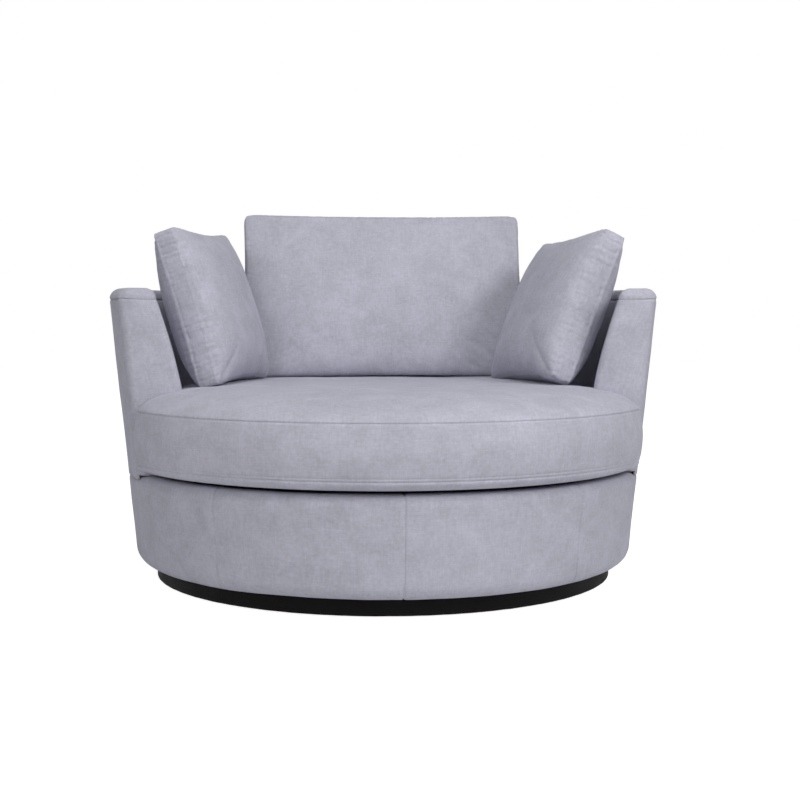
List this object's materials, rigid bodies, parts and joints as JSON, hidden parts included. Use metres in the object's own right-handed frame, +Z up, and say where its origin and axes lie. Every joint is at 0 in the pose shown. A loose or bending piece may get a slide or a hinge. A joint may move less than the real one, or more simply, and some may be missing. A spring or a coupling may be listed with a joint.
{
  "type": "swivel cuddle chair",
  "caption": "Round padded swivel chair on a low plinth: a barrel shell on a drum, a box seat cushion and loose back and scatter cushions.",
  "frame": {"origin": "on the floor at the swivel axis, on the underside of the centre glide", "axes": "+Z up along the swivel axis; the sitter faces -Y; +X is the sitter's left"},
  "size_m": [1.3627, 1.3409, 0.9199],
  "materials": {
    "upholstery_fabric": "matte",
    "black_plinth_cloth": "satin",
    "dust_cover_cloth": "matte",
    "deck_cloth": "matte",
    "white_foam": "matte",
    "cushion_fibre": "matte",
    "plywood": "matte",
    "pine": "matte",
    "hardboard": "matte",
    "zinc_steel": "satin",
    "spring_steel": "satin",
    "ball_steel": "polished",
    "black_nylon": "matte",
    "clip_plastic": "matte"
  },
  "bodies": {
    "plinth": {"plinth_hoop": "plywood", "plinth_board": "plywood", "plinth_rail_across": "pine", "plinth_rail_front_to_back": "pine", "plinth_corner_blocks": "pine", "plinth_glides": "black_nylon", "plinth_cover": "black_plinth_cloth", "swivel_lower_ring": "zinc_steel", "swivel_lower_bolts": "zinc_steel"},
    "ball_cage": {"swivel_balls": "ball_steel", "ball_retainer": "black_nylon"},
    "chair": {"swivel_upper_ring": "zinc_steel", "swivel_upper_bolts": "zinc_steel", "base_board": "plywood", "base_hoop": "hardboard", "base_ribs": "plywood", "seat_board": "plywood", "base_padding": "white_foam", "base_cover": "upholstery_fabric", "dust_cover": "dust_cover_cloth", "seat_springs": "spring_steel", "spring_clips": "clip_plastic", "deck_pad": "white_foam", "deck_cloth": "deck_cloth", "shell_bottom_rail": "plywood", "shell_ribs": "plywood", "shell_top_rail": "plywood", "shell_bolts": "zinc_steel", "shell_outer_panel": "hardboard", "shell_inner_panel": "hardboard", "arm_front_board_left": "plywood", "arm_front_board_right": "plywood", "shell_padding": "white_foam", "outside_cover": "upholstery_fabric", "inside_cover": "upholstery_fabric", "rim_cover": "upholstery_fabric", "arm_front_cover_left": "upholstery_fabric", "arm_front_cover_right": "upholstery_fabric"},
    "seat_cushion": {"seat_cushion_cover": "upholstery_fabric", "seat_cushion_foam": "white_foam"},
    "back_cushion": {"back_cushion_cover": "upholstery_fabric", "back_cushion_filling": "cushion_fibre"},
    "scatter_cushion_left": {"scatter_cushion_left_cover": "upholstery_fabric", "scatter_cushion_left_filling": "cushion_fibre"},
    "scatter_cushion_right": {"scatter_cushion_right_cover": "upholstery_fabric", "scatter_cushion_right_filling": "cushion_fibre"}
  },
  "joints": [
    {"name": "swivel", "type": "hinge", "parent": "plinth", "child": "chair", "pos_m": [0, 0, 0.03], "axis": [0, 0, 1], "continuous": true},
    {"name": "cage_roll", "type": "hinge", "parent": "plinth", "child": "ball_cage", "pos_m": [0, 0, 0.03], "axis": [0, 0, 1], "continuous": true},
    {"name": "seat_cushion_lift", "type": "slide", "parent": "chair", "child": "seat_cushion", "axis": [0, 0, 1], "range_m": [0, 0.5]},
    {"name": "back_cushion_lift", "type": "slide", "parent": "seat_cushion", "child": "back_cushion", "axis": [0, 0.2079, 0.9781], "range_m": [0, 0.45]},
    {"name": "scatter_left_lift", "type": "slide", "parent": "seat_cushion", "child": "scatter_cushion_left", "axis": [0, 0, 1], "range_m": [0, 0.45]},
    {"name": "scatter_right_lift", "type": "slide", "parent": "seat_cushion", "child": "scatter_cushion_right", "axis": [0, 0, 1], "range_m": [0, 0.45]}
  ],
  "couplings": [
    {"joint": "cage_roll", "follows": "swivel", "ratio": 0.5}
  ]
}
